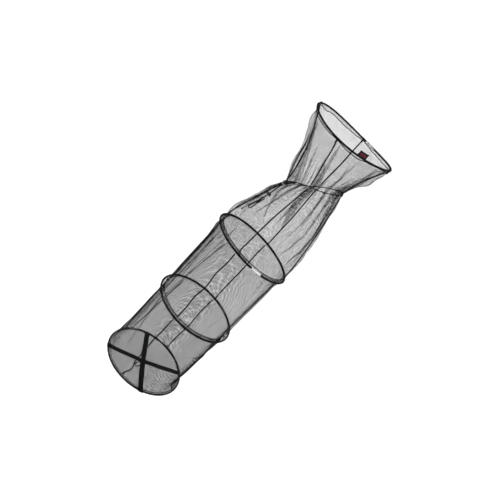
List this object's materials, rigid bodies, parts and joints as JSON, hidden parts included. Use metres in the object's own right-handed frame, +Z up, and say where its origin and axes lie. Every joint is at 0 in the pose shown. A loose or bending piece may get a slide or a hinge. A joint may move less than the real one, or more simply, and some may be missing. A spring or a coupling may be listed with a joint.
{
  "type": "fishing keepnet",
  "caption": "Long round keepnet of fine netting on wire hoops, with a drawcord neck, support cords and crossed tapes under its bottom.",
  "frame": {"origin": "centre of the mouth hoop, by which the net hangs", "axes": "+Z up along the net from its bottom to its mouth, -Y the front, +X to the right"},
  "size_m": [0.4236, 0.4154, 1.5484],
  "materials": {
    "wire": "black plastic coated steel wire",
    "ferrule": "bright pressed ferrule",
    "netting": "fine black knitted mesh",
    "hem_cloth": "black woven binding, sewn",
    "cord": "black braided cord",
    "tape": "black woven webbing",
    "lock_plastic": "moulded black plastic",
    "spring_steel": "spring wire",
    "label_backing": "black woven tape",
    "label_patch": "dark red, bare"
  },
  "bodies": {
    "mouth": {"mouth_hoop": "wire", "mouth_ferrule": "ferrule", "mouth_hem": "hem_cloth", "label_backing": "label_backing", "label_patch": "label_patch", "mouth_netting": "netting", "front_cord_mouth_bay": "cord", "right_cord_mouth_bay": "cord", "back_cord_mouth_bay": "cord", "left_cord_mouth_bay": "cord"},
    "neck": {"neck_casing": "hem_cloth", "neck_drawcord": "cord", "drawcord_ring": "ferrule", "drawcord_knot": "cord", "drawcord_hank": "cord", "hank_tie": "cord", "drawcord_end_knot": "cord", "neck_netting": "netting", "front_cord_neck_bay": "cord", "right_cord_neck_bay": "cord", "back_cord_neck_bay": "cord", "left_cord_neck_bay": "cord"},
    "upper": {"upper_hoop": "wire", "upper_ferrule": "ferrule", "upper_sleeve": "hem_cloth", "middle_netting": "netting", "front_cord_middle_bay": "cord", "right_cord_middle_bay": "cord", "back_cord_middle_bay": "cord", "left_cord_middle_bay": "cord"},
    "middle": {"middle_hoop": "wire", "middle_ferrule": "ferrule", "middle_sleeve": "hem_cloth", "bottom_netting": "netting", "front_cord_bottom_bay": "cord", "right_cord_bottom_bay": "cord", "back_cord_bottom_bay": "cord", "left_cord_bottom_bay": "cord"},
    "bottom": {"bottom_hoop": "wire", "bottom_ferrule": "ferrule", "bottom_hem": "hem_cloth", "bottom_netting_panel": "netting", "upper_tape": "tape", "lower_tape": "tape", "bottom_loop": "cord"},
    "cord_lock": {"cord_lock_body": "lock_plastic", "cord_lock_spring": "spring_steel"},
    "lock_button": {"cord_lock_button": "lock_plastic"}
  },
  "joints": [
    {"name": "neck_slide", "type": "slide", "parent": "mouth", "child": "neck", "axis": [0, 0, 1], "range_m": [0, 0.14], "deforming": ["mouth_netting", "front_cord_mouth_bay", "right_cord_mouth_bay", "back_cord_mouth_bay", "left_cord_mouth_bay"]},
    {"name": "upper_slide", "type": "slide", "parent": "neck", "child": "upper", "axis": [0, 0, 1], "range_m": [0, 0.28], "deforming": ["neck_netting", "front_cord_neck_bay", "right_cord_neck_bay", "back_cord_neck_bay", "left_cord_neck_bay"]},
    {"name": "middle_slide", "type": "slide", "parent": "upper", "child": "middle", "axis": [0, 0, 1], "range_m": [0, 0.345], "deforming": ["middle_netting", "front_cord_middle_bay", "right_cord_middle_bay", "back_cord_middle_bay", "left_cord_middle_bay"]},
    {"name": "bottom_slide", "type": "slide", "parent": "middle", "child": "bottom", "axis": [0, 0, 1], "range_m": [0, 0.335], "deforming": ["bottom_netting", "front_cord_bottom_bay", "right_cord_bottom_bay", "back_cord_bottom_bay", "left_cord_bottom_bay"]},
    {"name": "lock_slide", "type": "slide", "parent": "neck", "child": "cord_lock", "axis": [0.2243, 0.4675, 0.8551], "range_m": [0, 0.055]},
    {"name": "button_press", "type": "slide", "parent": "cord_lock", "child": "lock_button", "axis": [0.8047, -0.5838, 0.1081], "range_m": [0, 0.0028], "stiffness_N_per_m": 150, "springref_m": -0.003, "deforming": ["cord_lock_spring"]}
  ]
}
